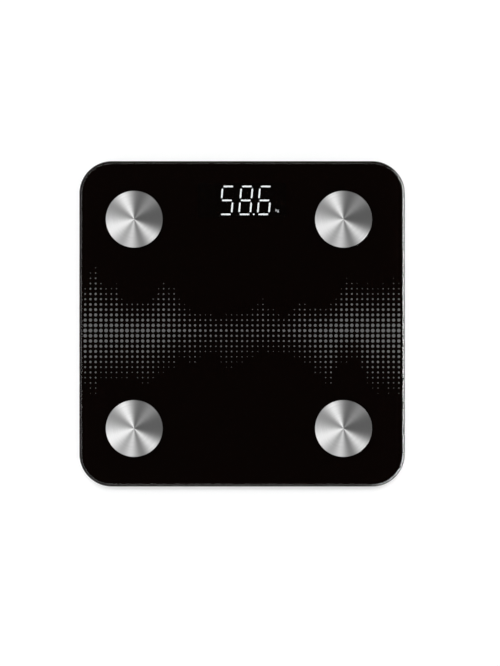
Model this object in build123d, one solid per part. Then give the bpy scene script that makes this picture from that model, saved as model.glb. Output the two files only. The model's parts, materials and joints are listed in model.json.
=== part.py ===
from build123d import *
from math import radians, tan
import os

# Digital bathroom scale: a square glass platform bonded to a moulded tray that stands on four weighing feet.
# Millimetres, +Z up. The origin is on the floor under the middle of the platform, +Y runs towards the
# display end and +X to the right of a person who faces the display.

# Glass platform and the ink behind it
platform_size = 280.0
platform_corner_radius = 28.0
glass_thickness = 5.0
glass_edge_radius = 2.3
glass_underside_radius = 0.8
ink_thickness = 0.12
ink_setback = 0.2
tape_thickness = 0.8
tape_setback = 0.5

# Steel electrodes on top of the glass, each with a stud through it
electrode_diameter = 49.0
electrode_inset = 50.2
electrode_shift = -2.7
electrode_thickness = 0.8
electrode_edge_radius = 0.35
stud_diameter = 4.0
stud_offset = 15.0
stud_hole_clearance = 1.0
stud_tail = 0.8
nut_width = 7.0
nut_height = 3.0
terminal_diameter = 9.0
terminal_thickness = 0.8
barrel_diameter = 2.4
barrel_length = 6.0

# Moulded tray
tray_standoff = 4.2
tray_overhang = 3.0
tray_wall = 2.0
tray_floor = 2.0
tray_draft = 12.0
tray_edge_radius = 6.0
tray_headroom = 0.5
rim_width = 8.0
rim_wall = 1.6
rib_thickness = 1.5
rib_pitch = 40.0
rib_margin = 1.5

# Weighing feet and their load cells
cell_inset = 40.0
cell_size = 34.0
cell_corner_radius = 4.0
cell_thickness = 2.0
cell_lift = 3.8
tongue_width = 18.0
tongue_length = 14.0
tongue_shift = 2.0
neck_width = 10.0
neck_length = 4.0
slot_width = 2.2
gauge_width = 8.0
gauge_length = 6.0
gauge_thickness = 1.2
holder_wall = 2.3
holder_ledge = 4.5
holder_relief = 3.2
holder_web = 1.8
holder_rib = 2.0
holder_corner_radius = 3.0
ear_length = 7.0
ear_width = 8.0
ear_thickness = 2.5
guide_wall = 1.6
guide_gap = 17.0
foot_diameter = 34.0
foot_clearance = 1.0
foot_wall = 2.0
foot_web = 2.2
foot_boss_diameter = 12.0
foot_boss_height = 1.2
foot_rib = 1.6
foot_recess_width = 4.0
foot_recess_depth = 0.6
collar_wall = 1.4
collar_gap = 0.3
stake_diameter = 4.0
stake_head_diameter = 7.0
stake_head_height = 1.2
pad_thickness = 3.0
pad_seat = 1.5
pad_edge_radius = 0.8
groove_depth = 0.6
groove_width = 1.4
groove_pitch = 4.0
groove_count = 2

# Battery compartment, with its door in the floor of the tray
battery_to_display = 61.0
battery_diameter = 10.5
battery_length = 44.5
battery_pitch = 11.2
battery_nub_diameter = 3.8
battery_nub_length = 0.9
battery_edge = 0.5
battery_floor_gap = 0.3
well_wall = 3.0
well_ledge = 1.5
well_roof = 1.2
well_ridge = 1.5
well_corner_radius = 2.0
contact_thickness = 0.4
contact_width = 7.4
contact_drop = 4.4
contact_rise = 3.0
strap_height = 2.2
contact_dimple = 0.6
contact_dimple_diameter = 3.0
spring_length = 3.6
spring_width = 5.0
spring_span = 5.6
solder_tab_width = 3.0
solder_tab_reach = 2.0
door_clearance = 0.3
door_face_gap = 0.1
door_tab_width = 8.0
door_tab_spacing = 30.0
door_tab_reach = 1.2
door_tab_thickness = 1.4
door_tab_root = 3.0
door_tab_gap = 0.15
tab_window_height = 3.0
latch_width = 9.0
latch_thickness = 1.0
latch_height = 3.0
latch_nose = 0.45
latch_setback = 0.9
scoop_width = 16.0
scoop_radius = 12.0
scoop_depth = 1.1
grip_count = 4
grip_pitch = 2.2
grip_width = 1.0
grip_depth = 0.4
grip_length = 16.0

# Circuit boards, on posts that bring both to one level
board_lift = 4.2
board_thickness = 1.6
board_corner_radius = 2.0
board_width = 44.0
board_depth = 40.0
board_gap = 8.0
board_screw_inset = 3.2
post_diameter = 5.2
chip_height = 1.5
controller_size = 9.0
converter_width = 10.0
converter_depth = 4.0
radio_width = 14.0
radio_depth = 11.0
radio_board = 0.8
radio_can_margin = 1.2
radio_can_height = 1.6
socket_width = 6.0
socket_depth = 4.0
socket_height = 2.4
ribbon_socket_width = 11.0
electrode_socket_size = 9.0
lead_overlap = 3.0

# Places on the main board: from its middle, from its front edge, and along its edges from a corner screw
controller_place = (-8.0, 5.0)
converter_place = (-6.5, -5.0)
electrode_socket_place = (5.0, 0.0)
electrode_wire_spread = 2.5
radio_x = 5.0
radio_edge_gap = 1.5
screw_to_socket = 0.9
wire_to_socket = 3.3
ribbon_x = 5.0

# Unit button and the switch above it
button_diameter = 9.0
button_clearance = 0.35
button_recess = 0.3
button_edge_radius = 0.4
button_flange_width = 1.2
button_flange_thickness = 0.8
button_stem_diameter = 4.0
button_drop = 10.0
button_guide_wall = 1.2
switch_size = 6.0
switch_height = 2.2
plunger_diameter = 3.0
plunger_proud = 0.7
plunger_depth = 0.7
plunger_room = 0.8
press_clearance = 0.05

# Numeral display
display_inset = 33.7
digit_pitch = 16.1
digits_shift = -4.85
digit_height = 24.0
digit_width = 9.7
digit_slant = 5.0
segment_width = 1.35
bar_trim = 1.3
upright_trim = 3.6
point_offset = 7.9
legend_room = 15.6
housing_margin = 4.2
housing_corner_radius = 1.5
housing_gap = 0.3
window_margin = 2.0
display_board_ear = 7.0
led_length = 1.0
led_width = 0.5
led_height = 0.5
led_gap = 0.3

# Leads
lead_width = 3.6
lead_thickness = 1.0
lead_lift = 0.2
lead_bend = 7.0
wire_diameter = 1.4
wire_bend = 4.0
ribbon_width = 8.0
ribbon_thickness = 0.6
lead_lane = 8.0

# Screws, and the small clearances of fitted pieces
screw_diameter = 2.6
screw_head_diameter = 5.0
screw_head_height = 1.8
screw_length = 6.5
board_screw_diameter = 2.0
board_screw_head_diameter = 3.8
board_screw_head_height = 1.3
board_screw_length = 4.5
boss_wall = 2.0
hole_clearance = 0.3
thread_clearance = 0.05
fit_clearance = 0.2
cut_overshoot = 1.0

# What the display reads, with a space for a dark place, and the segments of each numeral
reading = " 58.6"
numeral_segments = {" ": "", "5": "afgcd", "8": "abcdefg", "6": "acdefg"}
numerals = reading.replace(".", "")
digit_count = len(numerals)

# Which way each battery's nub points along X, from front to rear, so that the cells are in series
battery_directions = (1, -1, 1)
battery_count = len(battery_directions)

# Corners: side signs in X and Y
corners = {
    "front_left": (-1, -1),
    "front_right": (1, -1),
    "rear_left": (-1, 1),
    "rear_right": (1, 1),
}

# Levels, from the floor up
floor_top = tray_standoff + tray_floor
battery_bore = battery_diameter + 2 * fit_clearance
battery_axis = floor_top + battery_floor_gap + battery_diameter / 2
well_top = battery_axis + battery_bore / 2 + well_roof
tray_top = well_top + tray_headroom
ink_bottom = tray_top + tape_thickness
glass_bottom = ink_bottom + ink_thickness
glass_top = glass_bottom + glass_thickness
electrode_top = glass_top + electrode_thickness
cell_bottom = floor_top + cell_lift
cell_top = cell_bottom + cell_thickness
lead_bottom = cell_top + lead_lift
lead_level = lead_bottom + lead_thickness / 2
wire_level = lead_bottom + wire_diameter / 2
rib_top = lead_bottom - thread_clearance
board_bottom = floor_top + board_lift
board_top = board_bottom + board_thickness
terminal_bottom = ink_bottom - terminal_thickness
barrel_level = ink_bottom - barrel_diameter / 2 - fit_clearance
foot_top = cell_bottom - foot_boss_height
foot_bottom = pad_thickness - pad_seat

# Places in plan
half_platform = platform_size / 2
cell_reach = half_platform - cell_inset
electrode_reach = half_platform - electrode_inset
stud_reach = electrode_reach - stud_offset
display_y = half_platform - display_inset
battery_y = display_y - battery_to_display
holder_size = cell_size + 2 * (fit_clearance + holder_wall)
ear_centre = holder_size / 2 + ear_length / 2
boss_diameter = screw_diameter + 2 * boss_wall
foot_hole_diameter = foot_diameter + 2 * foot_clearance
housing_width = digit_count * digit_pitch + legend_room
housing_depth = digit_height + segment_width + 2 * housing_margin
display_board_width = housing_width + 2 * display_board_ear
well_length = battery_length + contact_thickness + contact_dimple + spring_length
well_width = (battery_count - 1) * battery_pitch + battery_bore
opening_length = well_length + 2 * well_ledge
opening_width = well_width + 2 * well_ledge
well_outer_length = well_length + 2 * well_wall
well_outer_width = well_width + 2 * well_wall
board_x = well_outer_length / 2 + board_gap + board_width / 2
board_place = Pos(board_x, battery_y)
screw_edge = board_screw_inset + board_screw_head_diameter / 2
edge_socket_x = board_width / 2 - screw_edge - screw_to_socket - socket_width / 2
edge_socket_y = board_depth / 2 - screw_edge - screw_to_socket - socket_width / 2
negative_wire_x = -board_width / 2 + screw_edge + screw_to_socket + wire_diameter / 2
front_socket_x = negative_wire_x + wire_diameter / 2 + wire_to_socket + socket_width / 2
radio_y = -board_depth / 2 + radio_edge_gap + radio_depth / 2
button_place = Pos(board_x, battery_y - button_drop)
near_lane = battery_y - max(well_outer_width, board_depth) / 2 - lead_lane
far_lane = near_lane - lead_lane
rear_lane = battery_y + max(well_outer_width, board_depth) / 2 + lead_lane
upright_on_floor = (Align.CENTER, Align.CENTER, Align.MIN)


def rod(diameter, bottom, top):
    """Upright cylinder on the Z axis."""
    return Pos(0, 0, bottom) * Cylinder(diameter / 2, top - bottom, align=upright_on_floor)


def block(width, depth, bottom, top):
    """Upright box on the Z axis."""
    return Pos(0, 0, bottom) * Box(width, depth, top - bottom, align=upright_on_floor)


def slab(width, depth, radius, bottom, top):
    """Upright box on the Z axis with round corners."""
    return extrude(Pos(0, 0, bottom) * RectangleRounded(width, depth, radius), top - bottom)


def group(pieces):
    """Separate solids kept in one node."""
    return Compound([solid for piece in pieces for solid in piece.solids()])


def cell_place(corner):
    """Where a load cell stands, turned so that its neck points to the middle."""
    side_x, side_y = corners[corner]
    return Pos(side_x * cell_reach, side_y * cell_reach) * Rot(0, 0, 0 if side_y > 0 else 180)


def electrode_place(corner):
    """Middle of an electrode disc."""
    side_x, side_y = corners[corner]
    return Pos(side_x * electrode_reach + electrode_shift, side_y * electrode_reach)


def stud_place(corner):
    """Where an electrode's stud passes the glass, turned so that its terminal points to the middle."""
    side_x, side_y = corners[corner]
    turn = Rot(0, 0, 0 if side_y > 0 else 180)
    return Pos(side_x * electrode_reach + electrode_shift, side_y * stud_reach) * turn


def screw(diameter, head_diameter, head_height, length):
    """Pan-head screw with its head seated at height zero."""
    head = rod(head_diameter, 0, head_height)
    head = fillet(head.edges().group_by(Axis.Z)[-1], head_height / 3)
    return head + rod(diameter, -length, 0)


def stud_hole():
    """Room for an electrode stud, through the glass and the ink."""
    return rod(stud_diameter + 2 * stud_hole_clearance, ink_bottom - cut_overshoot, glass_top + cut_overshoot)


def make_glass():
    """Glass with a rounded upper edge, an eased lower one and a hole for each electrode stud."""
    glass = slab(platform_size, platform_size, platform_corner_radius, glass_bottom, glass_top)
    glass = fillet(glass.faces().sort_by(Axis.Z)[-1].edges(), glass_edge_radius)
    glass = fillet(glass.faces().sort_by(Axis.Z)[0].edges(), glass_underside_radius)
    return glass - [stud_place(corner) * stud_hole() for corner in corners]


def make_window():
    """Smoked film over the numerals, in the opening of the black ink."""
    width = housing_width - 2 * window_margin
    depth = housing_depth - 2 * window_margin
    return Pos(0, display_y) * slab(width, depth, housing_corner_radius, ink_bottom, glass_bottom)


def make_ink(window):
    """Black ink on the flat of the glass's underside, open at the studs and the display."""
    inset = glass_underside_radius + ink_setback
    size = platform_size - 2 * inset
    ink = slab(size, size, platform_corner_radius - inset, ink_bottom, glass_bottom)
    return ink - [stud_place(corner) * stud_hole() for corner in corners] - window


def make_electrode(corner):
    """Steel disc with a softened rim, and the stud welded under it."""
    disc = rod(electrode_diameter, glass_top, electrode_top)
    disc = fillet(disc.edges().group_by(Axis.Z)[-1], electrode_edge_radius)
    stud_end = terminal_bottom - nut_height - stud_tail
    return electrode_place(corner) * disc + stud_place(corner) * rod(stud_diameter, stud_end, glass_top)


def make_terminal():
    """Ring terminal with a crimp barrel that points to the middle of the scale."""
    barrel_end = -terminal_diameter / 2 - barrel_length
    barrel_start = -stud_diameter / 2 - stud_hole_clearance
    barrel = Pos(0, barrel_start, barrel_level) * Rot(90, 0, 0)
    barrel *= Cylinder(barrel_diameter / 2, barrel_start - barrel_end, align=upright_on_floor)
    ring = rod(terminal_diameter, terminal_bottom, ink_bottom)
    nut_room = rod(terminal_diameter, terminal_bottom - nut_height, terminal_bottom)
    return ring + (barrel - nut_room) - rod(stud_diameter + 2 * thread_clearance, 0, glass_top)


def make_nut():
    """Hexagon nut under a ring terminal."""
    outline = Pos(0, 0, terminal_bottom - nut_height) * RegularPolygon(nut_width / 2, 6, major_radius=False)
    return extrude(outline, nut_height) - rod(stud_diameter + 2 * thread_clearance, 0, glass_top)


def rim_ring(outer_inset, inner_inset, bottom, top):
    """Ring that follows the tray's edge, between two insets from its top outline."""
    outer = platform_size - 2 * (tray_overhang + outer_inset)
    inner = platform_size - 2 * (tray_overhang + inner_inset)
    radius = platform_corner_radius - tray_overhang
    ring = slab(outer, outer, radius - outer_inset, bottom, top)
    return ring - slab(inner, inner, radius - inner_inset, bottom - cut_overshoot, top + cut_overshoot)


def drafted_body(inset, bottom, edge_radius):
    """Body that narrows downwards from the tray's rim to a rounded lower edge."""
    size = platform_size - 2 * (tray_overhang + inset)
    radius = platform_corner_radius - tray_overhang - inset
    outline = Pos(0, 0, tray_top) * RectangleRounded(size, size, radius)
    body = extrude(outline, tray_top - bottom, dir=(0, 0, -1), taper=tray_draft)
    return fillet(body.faces().sort_by(Axis.Z)[0].edges(), edge_radius)


def make_ribs():
    """Grid of stiffening ribs, left out where the pockets, boards and compartment stand."""
    count = int(half_platform / rib_pitch)
    bars = []
    for step in range(-count, count + 1):
        bars.append(Pos(step * rib_pitch, 0) * block(rib_thickness, platform_size, floor_top, rib_top))
        bars.append(Pos(0, step * rib_pitch) * block(platform_size, rib_thickness, floor_top, rib_top))
    ribs = Part() + bars
    pocket_width = holder_size + 2 * (ear_length + rib_margin)
    pocket_depth = holder_size + 2 * (fit_clearance + guide_wall)
    pocket = block(pocket_width, pocket_depth, floor_top, tray_top)
    rooms = [cell_place(corner) * pocket for corner in corners]
    margin = 2 * rib_margin
    rooms.append(board_place * block(board_width + margin, board_depth + margin, floor_top, tray_top))
    display_room = block(display_board_width + margin, housing_depth + margin, floor_top, tray_top)
    rooms.append(Pos(0, display_y) * display_room)
    rooms.append(Pos(0, battery_y) * block(well_outer_length, well_outer_width, floor_top, tray_top))
    return ribs - rooms


def pocket_walls():
    """Corner guides round a load cell holder, the collar of the foot's hole and two screw bosses."""
    inner = holder_size + 2 * fit_clearance
    outer = inner + 2 * guide_wall
    guides = block(outer, outer, floor_top, cell_top) - block(inner, inner, floor_top, cell_top)
    guides -= block(outer, guide_gap, floor_top, cell_top)
    guides -= block(guide_gap, outer, floor_top, cell_top)
    collar = rod(foot_hole_diameter + 2 * collar_wall, floor_top, cell_bottom - collar_gap)
    walls = guides + collar
    for side in (-1, 1):
        walls += Pos(side * ear_centre, 0) * rod(boss_diameter, floor_top, cell_top)
    return walls


def pocket_cuts():
    """Foot hole, the shallow ring round it and the screw holes of one pocket."""
    cuts = rod(foot_hole_diameter, 0, cell_bottom)
    recess = foot_hole_diameter + 2 * foot_recess_width
    cuts += rod(recess, tray_standoff - cut_overshoot, tray_standoff + foot_recess_depth)
    pilot = rod(screw_diameter + 2 * thread_clearance, cell_top + ear_thickness - screw_length, cell_top)
    for side in (-1, 1):
        cuts += Pos(side * ear_centre, 0) * pilot
    return cuts


def well_cuts():
    """Battery bays, door opening, tab and latch windows, contact slots and finger scoop."""
    low = tray_standoff - cut_overshoot
    cuts = block(well_length, well_width, low, battery_axis + well_ridge)
    for place in battery_places():
        bay = Cylinder(battery_bore / 2, well_length, rotation=(0, 90, 0))
        cuts += Pos(0, place, battery_axis) * bay
    cuts += slab(opening_length, opening_width, well_corner_radius, low, floor_top)
    window_depth = well_wall + door_tab_root
    window_width = door_tab_width + 2 * door_clearance
    for side in (-1, 1):
        window = block(window_width, window_depth, floor_top, floor_top + tab_window_height)
        cuts += Pos(side * door_tab_spacing / 2, -well_outer_width / 2 + window_depth / 2) * window
    latch_room = block(
        latch_width + 2 * door_clearance, well_ledge * 2, floor_top, floor_top + latch_height + door_clearance
    )
    cuts += Pos(0, opening_width / 2 - well_ledge) * latch_room
    slot = Box(
        well_wall + 2 * cut_overshoot, solder_tab_width + 2 * fit_clearance,
        contact_thickness + 2 * fit_clearance,
    )
    slot_reach = well_length / 2 + well_wall / 2
    cuts += Pos(slot_reach, battery_places()[-1], wire_level) * slot
    cuts += Pos(-slot_reach, battery_places()[0], wire_level) * slot
    scoop = Cylinder(scoop_radius, scoop_width, rotation=(0, 90, 0))
    scoop_level = tray_standoff + scoop_depth - scoop_radius
    return cuts + Pos(0, opening_width / 2, scoop_level) * scoop


def battery_places():
    """Y offsets of the cells from the middle of the compartment."""
    first = -(battery_count - 1) / 2
    return [(first + index) * battery_pitch for index in range(battery_count)]


def board_screw_places():
    """The main board's screws, one in each corner."""
    reach_x = board_width / 2 - board_screw_inset
    reach_y = board_depth / 2 - board_screw_inset
    return [Pos(board_x + x * reach_x, battery_y + y * reach_y) for x in (-1, 1) for y in (-1, 1)]


def display_screw_places():
    """The display board's screws, one in each ear."""
    reach = housing_width / 2 + display_board_ear / 2
    return [Pos(side * reach, display_y) for side in (-1, 1)]


def make_tray():
    """Drafted shell with rim wall, ribs, foot pockets, battery compartment, posts and button guide."""
    cavity = drafted_body(tray_wall, floor_top, tray_edge_radius - tray_floor)
    inside = rim_ring(rim_width - rim_wall, rim_width, floor_top, tray_top)
    inside = (inside + make_ribs()) & cavity
    tray = drafted_body(0, tray_standoff, tray_edge_radius) - cavity + inside
    tray += [cell_place(corner) * pocket_walls() for corner in corners]
    well = slab(well_outer_length, well_outer_width, well_corner_radius, floor_top, well_top)
    tray += Pos(0, battery_y) * well
    posts = board_screw_places() + display_screw_places()
    tray += [place * rod(post_diameter, floor_top, board_bottom) for place in posts]
    guide_bore = button_diameter + 2 * (button_flange_width + button_clearance)
    guide_top = floor_top + 2 * button_flange_thickness
    tray += button_place * rod(guide_bore + 2 * button_guide_wall, floor_top, guide_top)
    cuts = [cell_place(corner) * pocket_cuts() for corner in corners]
    cuts.append(Pos(0, battery_y) * well_cuts())
    pilot_end = board_top - board_screw_length
    pilot = rod(board_screw_diameter + 2 * thread_clearance, pilot_end, board_bottom + cut_overshoot)
    cuts += [place * pilot for place in posts]
    cuts.append(button_place * rod(guide_bore, floor_top, guide_top + cut_overshoot))
    cuts.append(button_place * rod(button_diameter + 2 * button_clearance, 0, floor_top + cut_overshoot))
    return tray - cuts


def make_load_cell():
    """Stamped steel plate whose slotted tongue bends against its outer frame."""
    plate = slab(cell_size, cell_size, cell_corner_radius, cell_bottom, cell_top)
    tongue_front = tongue_shift + tongue_length / 2
    tongue_back = tongue_shift - tongue_length / 2
    slot_front = tongue_front + slot_width
    slot_back = tongue_back - neck_length
    slot_place = Pos(0, (slot_front + slot_back) / 2)
    tongue_place = Pos(0, tongue_shift)
    neck_place = Pos(0, tongue_back - neck_length / 2)
    slot = slot_place * Rectangle(tongue_width + 2 * slot_width, slot_front - slot_back)
    slot -= tongue_place * RectangleRounded(tongue_width, tongue_length, slot_width)
    slot -= neck_place * Rectangle(neck_width, neck_length + 2 * slot_width)
    plate -= extrude(Pos(0, 0, cell_bottom - cut_overshoot) * slot, cell_thickness + 2 * cut_overshoot)
    return plate - tongue_place * rod(stake_diameter + 2 * fit_clearance, 0, cell_top + cut_overshoot)


def gauge_back():
    """Y of the outer end of a strain gauge, where its lead starts."""
    return tongue_shift - tongue_length / 2 - neck_length / 2 - gauge_length / 2


def make_gauge():
    """Sealed strain gauge on the neck of a load cell."""
    gauge = slab(gauge_width, gauge_length, gauge_thickness, cell_top, cell_top + gauge_thickness)
    return Pos(0, gauge_back() + gauge_length / 2) * gauge


def make_holder():
    """Moulded block that seats a load cell's frame and carries the glass."""
    holder = slab(holder_size, holder_size, holder_corner_radius, cell_bottom, tray_top)
    for side in (-1, 1):
        reach = holder_size / 2 + ear_length - ear_width / 2
        ear = Pos(side * reach, 0) * rod(ear_width, cell_top, cell_top + ear_thickness)
        bridge = block(ear_width, ear_width, cell_top, cell_top + ear_thickness)
        holder += ear + Pos(side * (reach - ear_width / 2), 0) * bridge
    seat = cell_size + 2 * fit_clearance
    holder -= block(seat, seat, cell_bottom - cut_overshoot, cell_top)
    relief = cell_size - 2 * holder_ledge
    relief_top = cell_top + holder_relief
    holder -= block(relief, relief, cell_bottom, relief_top)
    notch_top = lead_bottom + lead_thickness + lead_lift
    notch = block(lead_width + 2 * hole_clearance, holder_size, cell_bottom - cut_overshoot, notch_top)
    holder -= Pos(0, -holder_size / 2) * notch
    cell_room = (holder_size - 2 * holder_wall - holder_rib) / 2
    for side_x in (-1, 1):
        for side_y in (-1, 1):
            offset = (cell_room + holder_rib) / 2
            room = slab(cell_room, cell_room, holder_rib, relief_top + holder_web, tray_top + cut_overshoot)
            holder -= Pos(side_x * offset, side_y * offset) * room
    hole = rod(screw_diameter + 2 * hole_clearance, cell_top - cut_overshoot, tray_top)
    for side in (-1, 1):
        holder -= Pos(side * ear_centre, 0) * hole
    return holder


def make_foot_carrier():
    """Cored puck with ribs, a boss under the tongue and the staked pin through it."""
    carrier = rod(foot_diameter, foot_bottom, foot_top)
    core_bottom = pad_thickness + foot_web
    core = rod(foot_diameter - 2 * foot_wall, core_bottom, foot_top + cut_overshoot)
    core -= Pos(0, tongue_shift) * rod(foot_boss_diameter, core_bottom, foot_top + cut_overshoot)
    core -= Pos(0, tongue_shift) * block(foot_rib, foot_diameter, core_bottom, foot_top + cut_overshoot)
    core -= Pos(0, tongue_shift) * block(foot_diameter, foot_rib, core_bottom, foot_top + cut_overshoot)
    carrier -= core
    carrier -= rod(foot_diameter - foot_wall, foot_bottom - cut_overshoot, pad_thickness)
    boss = rod(foot_boss_diameter, core_bottom, cell_bottom)
    pin = rod(stake_diameter, cell_bottom, cell_top)
    head = rod(stake_head_diameter, cell_top, cell_top + stake_head_height)
    head = fillet(head.edges().group_by(Axis.Z)[-1], stake_head_height / 2)
    return carrier + Pos(0, tongue_shift) * (boss + pin + head)


def make_foot_pad():
    """Rubber disc with ring grooves in its tread."""
    diameter = foot_diameter - foot_wall - 2 * fit_clearance
    pad = rod(diameter, 0, pad_thickness)
    pad = fillet(pad.edges().group_by(Axis.Z)[0], pad_edge_radius)
    for index in range(groove_count):
        outer = diameter - 2 * (index + 1) * groove_pitch
        inner = outer - 2 * groove_width
        pad -= rod(outer, -cut_overshoot, groove_depth) - rod(inner, -cut_overshoot, groove_depth)
    return pad


def make_battery(direction):
    """Round cell along X with its nub at the end that the direction gives."""
    body_length = battery_length - battery_nub_length
    body = Cylinder(battery_diameter / 2, body_length, align=upright_on_floor)
    body = chamfer(body.edges(), battery_edge)
    body += Cylinder(battery_nub_diameter / 2, battery_length, align=upright_on_floor)
    flat_end = -well_length / 2 + spring_length
    return Rot(0, 0, 0 if direction > 0 else 180) * Pos(flat_end, 0, battery_axis) * Rot(0, 90, 0) * body


def contact_plate():
    """Plate against the left end wall of a bay."""
    height = contact_drop + contact_rise
    plate = Box(contact_thickness, contact_width, height, align=(Align.MIN, Align.CENTER, Align.MIN))
    return Pos(-well_length / 2, 0, battery_axis - contact_drop) * plate


def contact_spring():
    """Plate with a bowed leaf that presses the flat end of a cell."""
    rise = spring_length - contact_thickness
    radius = (rise ** 2 + (spring_span / 2) ** 2) / (2 * rise)
    bow = Circle(radius) - Circle(radius - contact_thickness)
    bow &= Pos(radius - rise, 0) * Rectangle(2 * rise, spring_span, align=(Align.MIN, Align.CENTER))
    leaf = extrude(bow, spring_width / 2, both=True)
    leaf = Pos(-well_length / 2 + spring_length - radius, 0, battery_axis) * Rot(90, 0, 0) * leaf
    return contact_plate() + leaf


def contact_button():
    """Plate with a dimple that meets the nub of a cell."""
    dimple = Cylinder(
        contact_dimple_diameter / 2, contact_thickness + contact_dimple, rotation=(0, 90, 0),
        align=upright_on_floor,
    )
    return contact_plate() + Pos(-well_length / 2, 0, battery_axis) * dimple


def solder_tab():
    """Tab from the left contact plate out through the end wall."""
    reach = well_wall + solder_tab_reach
    tab = Box(reach, solder_tab_width, contact_thickness, align=(Align.MAX, Align.CENTER, Align.CENTER))
    return Pos(-well_length / 2, 0, wire_level) * tab


def make_contacts():
    """The two end terminals, and the bridges that put the cells in series."""
    places = battery_places()
    to_right = Rot(0, 0, 180)
    ends = [
        Pos(0, battery_y + places[0]) * (contact_spring() + solder_tab()),
        Pos(0, battery_y + places[-1]) * to_right * (contact_button() + solder_tab()),
    ]
    strap = Box(contact_thickness, battery_pitch, strap_height, align=(Align.MIN, Align.CENTER, Align.MIN))
    strap = Pos(-well_length / 2, 0, battery_axis - contact_drop) * strap
    bridges = []
    for index, direction in enumerate(battery_directions[:-1]):
        turn = to_right if direction > 0 else Rot(0, 0, 0)
        half = direction * battery_pitch / 2
        bridge = Pos(0, half) * contact_button() + strap + Pos(0, -half) * contact_spring()
        middle = (places[index] + places[index + 1]) / 2
        bridges.append(Pos(0, battery_y + middle) * turn * bridge)
    return group(ends), group(bridges)


def make_door():
    """Flush door with two pivot tabs, a latch finger and grip grooves."""
    door = slab(
        opening_length - 2 * door_clearance, opening_width - 2 * door_clearance,
        well_corner_radius - door_clearance, tray_standoff, floor_top - door_face_gap,
    )
    edge = -opening_width / 2
    tab_bottom = floor_top + door_tab_gap
    tab_top = tab_bottom + door_tab_thickness
    for side in (-1, 1):
        reach = door_tab_reach + door_clearance + door_tab_root
        tab = Pos(0, edge - door_tab_reach + reach / 2) * block(door_tab_width, reach, tab_bottom, tab_top)
        root = block(door_tab_width, door_tab_root, tray_standoff, tab_top)
        tab += Pos(0, edge + door_clearance + door_tab_root / 2) * root
        door += Pos(side * door_tab_spacing / 2, 0) * tab
    finger_y = opening_width / 2 - latch_setback - latch_thickness / 2
    finger = Pos(0, finger_y) * block(latch_width, latch_thickness, tray_standoff, floor_top + latch_height)
    nose_level = floor_top + latch_height - latch_nose
    nose = Cylinder(latch_nose, latch_width, rotation=(0, 90, 0))
    door += finger + Pos(0, finger_y + latch_thickness / 2, nose_level) * nose
    for index in range(grip_count):
        groove = block(grip_length, grip_width, tray_standoff - cut_overshoot, tray_standoff + grip_depth)
        door -= Pos(0, opening_width / 2 - (index + 2) * grip_pitch) * groove
    return Pos(0, battery_y) * door


def make_button():
    """Unit button with a flange that keeps it in the tray and a stem up to the switch."""
    cap = rod(button_diameter, tray_standoff + button_recess, floor_top + press_clearance)
    cap = fillet(cap.edges().group_by(Axis.Z)[0], button_edge_radius)
    flange_top = floor_top + press_clearance + button_flange_thickness
    flange = rod(button_diameter + 2 * button_flange_width, floor_top + press_clearance, flange_top)
    stem_top = board_bottom - switch_height - plunger_proud - press_clearance
    stem = rod(button_stem_diameter, flange_top, stem_top)
    return button_place * (cap + flange + stem)


def make_switch():
    """Push switch under the board, with the bore that its plunger slides in."""
    body = slab(switch_size, switch_size, switch_size / 8, board_bottom - switch_height, board_bottom)
    bore_top = board_bottom - switch_height + plunger_depth + plunger_room
    bore = rod(plunger_diameter + 2 * fit_clearance, board_bottom - switch_height - cut_overshoot, bore_top)
    return button_place * (body - bore)


def make_plunger():
    """Plunger of the push switch."""
    face = board_bottom - switch_height
    return button_place * rod(plunger_diameter, face - plunger_proud, face + plunger_depth)


def make_board(width, depth, place, screw_places):
    """Circuit board with a hole for each of its screws."""
    board = place * slab(width, depth, board_corner_radius, board_bottom, board_top)
    hole_diameter = board_screw_diameter + 2 * hole_clearance
    hole = rod(hole_diameter, board_bottom - cut_overshoot, board_top + cut_overshoot)
    return board - [screw_place * hole for screw_place in screw_places]


def numeral_outlines(extra):
    """Lit and dark segment outlines, each grown by extra on all sides, with their places."""
    # Half widths and half heights from a numeral's middle, and whether the segment is upright
    segment_places = {
        "a": (0, 1, False),
        "b": (1, 0.5, True),
        "c": (1, -0.5, True),
        "d": (0, -1, False),
        "e": (-1, -0.5, True),
        "f": (-1, 0.5, True),
        "g": (0, 0, False),
    }
    lean = tan(radians(digit_slant))
    lit, dark = [], []
    for index, numeral in enumerate(numerals):
        digit_x = digits_shift + (index - (digit_count - 1) / 2) * digit_pitch
        for name, (across, along, upright) in segment_places.items():
            y = along * digit_height / 2
            place = Pos(digit_x + across * digit_width / 2 + lean * y, display_y + y)
            if upright:
                length = digit_height / 2 - upright_trim
                place *= Rot(0, 0, 90 - digit_slant)
            else:
                length = digit_width - bar_trim
            bar = place * SlotOverall(length + 2 * extra, segment_width + 2 * extra)
            (lit if name in numeral_segments[numeral] else dark).append((place, bar))
        if index == reading.index(".") - 1:
            y = -digit_height / 2
            place = Pos(digit_x + point_offset + lean * y, display_y + y)
            lit.append((place, place * Circle(segment_width / 2 + extra)))
    return lit, dark


def make_display():
    """Reflector housing, its lit and dark light guides, and the small lamps under them."""
    housing_top = ink_bottom - housing_gap
    housing = slab(housing_width, housing_depth, housing_corner_radius, board_top, housing_top)
    housing = Pos(0, display_y) * housing
    lit_wells, dark_wells = numeral_outlines(thread_clearance)
    height = housing_top - board_top
    wells = [Pos(0, 0, board_top) * outline for place, outline in lit_wells + dark_wells]
    housing -= extrude(Sketch() + wells, height)
    guide_bottom = board_top + led_height + led_gap
    guides = []
    for outlines in numeral_outlines(0):
        bottoms = [Pos(0, 0, guide_bottom) * outline for place, outline in outlines]
        guides.append(group([extrude(bottom, housing_top - guide_bottom) for bottom in bottoms]))
    lamp = block(led_length, led_width, board_top, board_top + led_height)
    lamps = group([place * lamp for place, outline in lit_wells + dark_wells])
    return housing, guides[0], guides[1], lamps


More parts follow.
